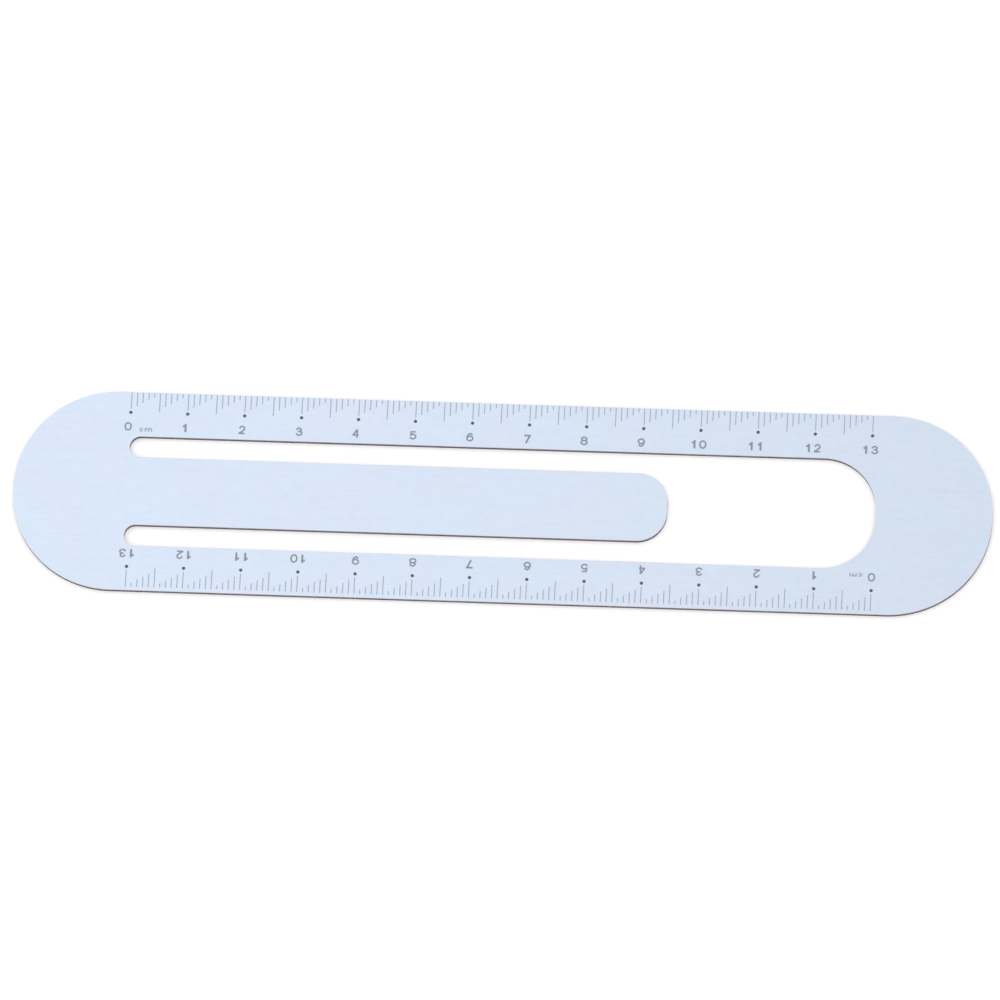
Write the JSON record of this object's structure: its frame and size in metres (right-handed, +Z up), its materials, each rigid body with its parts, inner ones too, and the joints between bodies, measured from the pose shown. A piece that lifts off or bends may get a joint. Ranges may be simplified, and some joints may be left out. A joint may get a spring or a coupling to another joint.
{
  "type": "ruler",
  "caption": "Flat sheet-metal ruler with rounded ends, a centimetre scale along each long edge and a U-shaped cut-out whose spring tongue clips it to a page.",
  "frame": {"origin": "middle of the underside, the flat face the ruler rests on", "axes": "+X along the plate from the tongue's root to the open window, +Y across it, +Z up out of the printed face"},
  "size_m": [0.1712, 0.0366, 0.001],
  "materials": {
    "satin_metal": "pale satin anodised sheet, smooth faces and tumbled edges",
    "scale_ink": "thin dark grey printing ink"
  },
  "bodies": {
    "root": {"ruler_plate": "satin_metal", "scale_marks": "scale_ink"}
  },
  "joints": []
}
